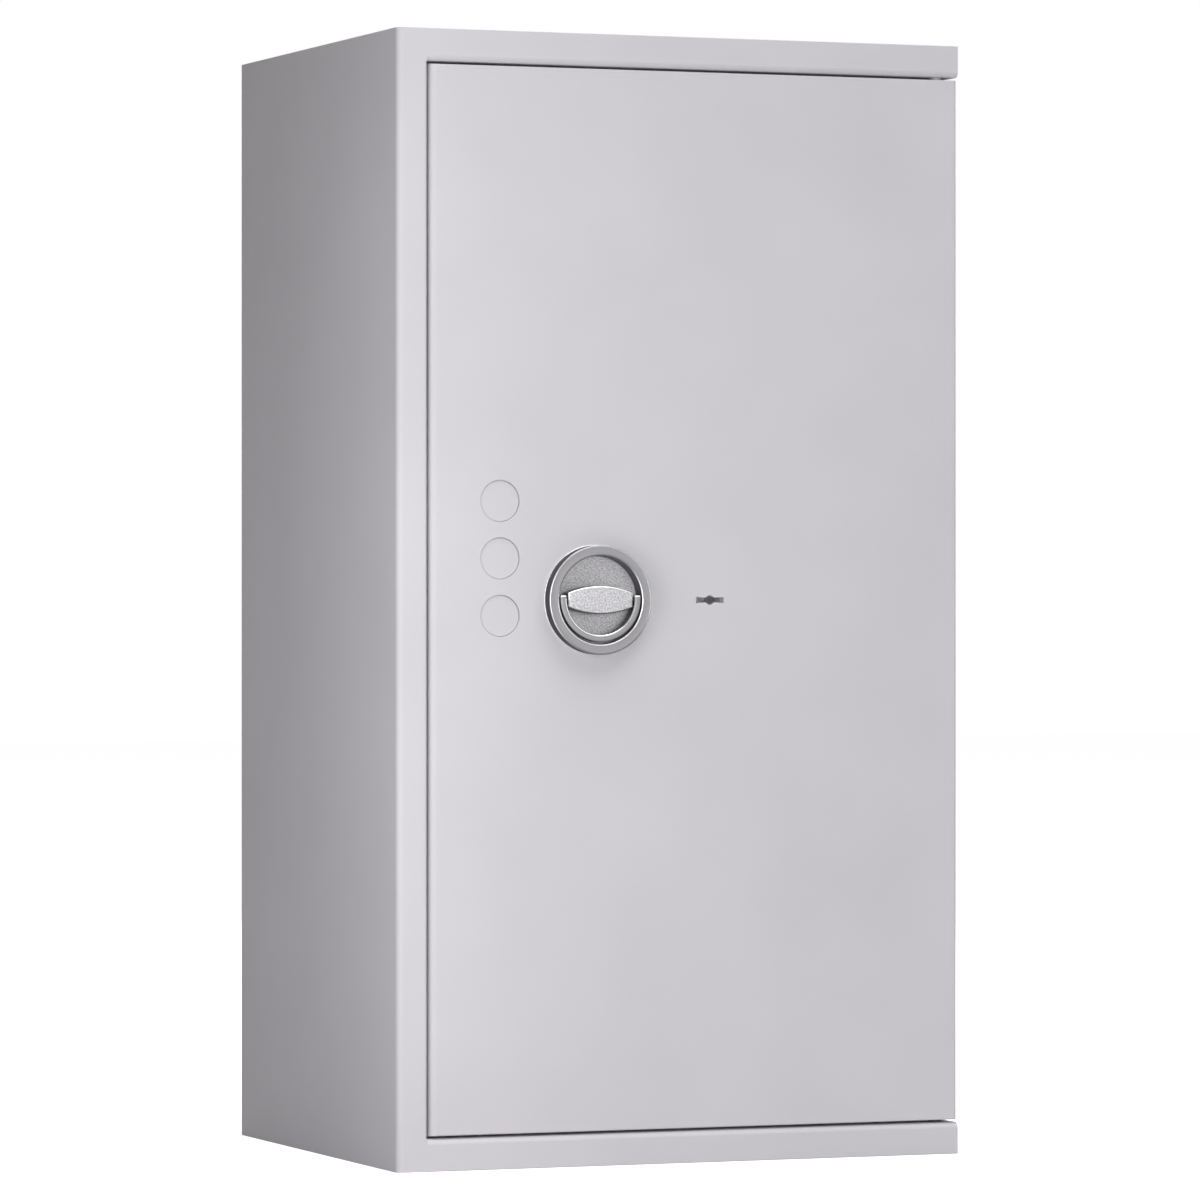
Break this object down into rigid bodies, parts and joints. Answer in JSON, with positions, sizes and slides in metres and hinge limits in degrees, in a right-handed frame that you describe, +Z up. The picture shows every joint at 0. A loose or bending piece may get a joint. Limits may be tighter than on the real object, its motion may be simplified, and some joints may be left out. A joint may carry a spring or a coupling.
{
  "type": "security cabinet",
  "caption": "Tall sheet-steel safe cabinet with a pivot-hung door, round turning handle with folding bail, key lock, boltwork and shelves.",
  "frame": {"origin": "centre of the base, on the surface the cabinet stands on", "axes": "+Z up; -Y out of the door's front; +X towards the hinge side"},
  "size_m": [0.5, 0.412, 0.93],
  "materials": {
    "powder_coat": "light grey powder coat",
    "zinc_plated_steel": "zinc plated steel",
    "satin_die_casting": "satin die-cast zinc",
    "grained_die_casting": "grained die-cast zinc",
    "black_steel": "blackened steel",
    "brass": "turned brass"
  },
  "bodies": {
    "cabinet": {"left_side_panel": "powder_coat", "left_stop_angle": "powder_coat", "right_side_panel": "powder_coat", "roof_panel": "powder_coat", "floor_panel": "powder_coat", "top_rail": "powder_coat", "bottom_rail": "powder_coat", "back_panel": "powder_coat", "hinge_side_angle": "powder_coat", "shelf_rails": "zinc_plated_steel", "shelf_clips": "zinc_plated_steel", "lower_shelf": "powder_coat", "upper_shelf": "powder_coat", "pivot_pins": "zinc_plated_steel", "pivot_washers": "zinc_plated_steel"},
    "door": {"door_skin": "powder_coat", "pivot_bushes": "brass", "blanking_disc_1": "powder_coat", "blanking_disc_2": "powder_coat", "blanking_disc_3": "powder_coat", "handle_rose": "satin_die_casting", "rose_nut": "zinc_plated_steel", "boltwork_plate": "powder_coat", "hinge_dog_bar": "zinc_plated_steel", "bolt_guides": "zinc_plated_steel", "rod_guides": "zinc_plated_steel", "spindle_bush": "brass", "keyhole_guide": "zinc_plated_steel", "lock_case": "zinc_plated_steel", "lock_cover": "zinc_plated_steel", "lock_screws": "black_steel", "cover_posts": "zinc_plated_steel", "rear_cover": "powder_coat", "cover_screws": "black_steel"},
    "handle": {"handle_body": "satin_die_casting", "grip_bar": "grained_die_casting", "bail_pin": "black_steel", "spindle": "zinc_plated_steel", "cam_disc": "zinc_plated_steel", "circlip": "black_steel"},
    "bail": {"bail": "satin_die_casting"},
    "side_bolts": {"side_bolt_bar": "zinc_plated_steel", "side_bolts": "zinc_plated_steel"},
    "top_rod": {"top_bolt_rod": "zinc_plated_steel"},
    "bottom_rod": {"bottom_bolt_rod": "zinc_plated_steel"},
    "key_drum": {"key_drum": "zinc_plated_steel"},
    "lock_bolt": {"lock_bolt": "zinc_plated_steel"}
  },
  "joints": [
    {"name": "door_swing", "type": "hinge", "parent": "cabinet", "child": "door", "pos_m": [0.234, -0.188, 0.465], "axis": [0, 0, 1], "range_deg": [0, 180]},
    {"name": "handle_turn", "type": "hinge", "parent": "door", "child": "handle", "pos_m": [-0.077, -0.19, 0.465], "axis": [0, 1, 0], "range_deg": [0, 90]},
    {"name": "bail_fold", "type": "hinge", "parent": "handle", "child": "bail", "pos_m": [-0.077, -0.209, 0.465], "axis": [-1, 0, 0], "range_deg": [0, 90]},
    {"name": "side_bolts_slide", "type": "slide", "parent": "door", "child": "side_bolts", "axis": [-1, 0, 0], "range_m": [0, 0.018]},
    {"name": "top_rod_slide", "type": "slide", "parent": "door", "child": "top_rod", "axis": [0, 0, 1], "range_m": [0, 0.018]},
    {"name": "bottom_rod_slide", "type": "slide", "parent": "door", "child": "bottom_rod", "axis": [0, 0, -1], "range_m": [0, 0.018]},
    {"name": "key_turn", "type": "hinge", "parent": "door", "child": "key_drum", "pos_m": [0.025, -0.165, 0.465], "axis": [0, 1, 0], "range_deg": [0, 180]},
    {"name": "lock_bolt_slide", "type": "slide", "parent": "door", "child": "lock_bolt", "axis": [-1, 0, 0], "range_m": [0, 0.012]}
  ],
  "couplings": [
    {"joint": "side_bolts_slide", "follows": "handle_turn", "m_per_rad": 0.011459},
    {"joint": "top_rod_slide", "follows": "handle_turn", "m_per_rad": 0.011459},
    {"joint": "bottom_rod_slide", "follows": "handle_turn", "m_per_rad": 0.011459},
    {"joint": "lock_bolt_slide", "follows": "key_turn", "m_per_rad": 0.0038197}
  ]
}
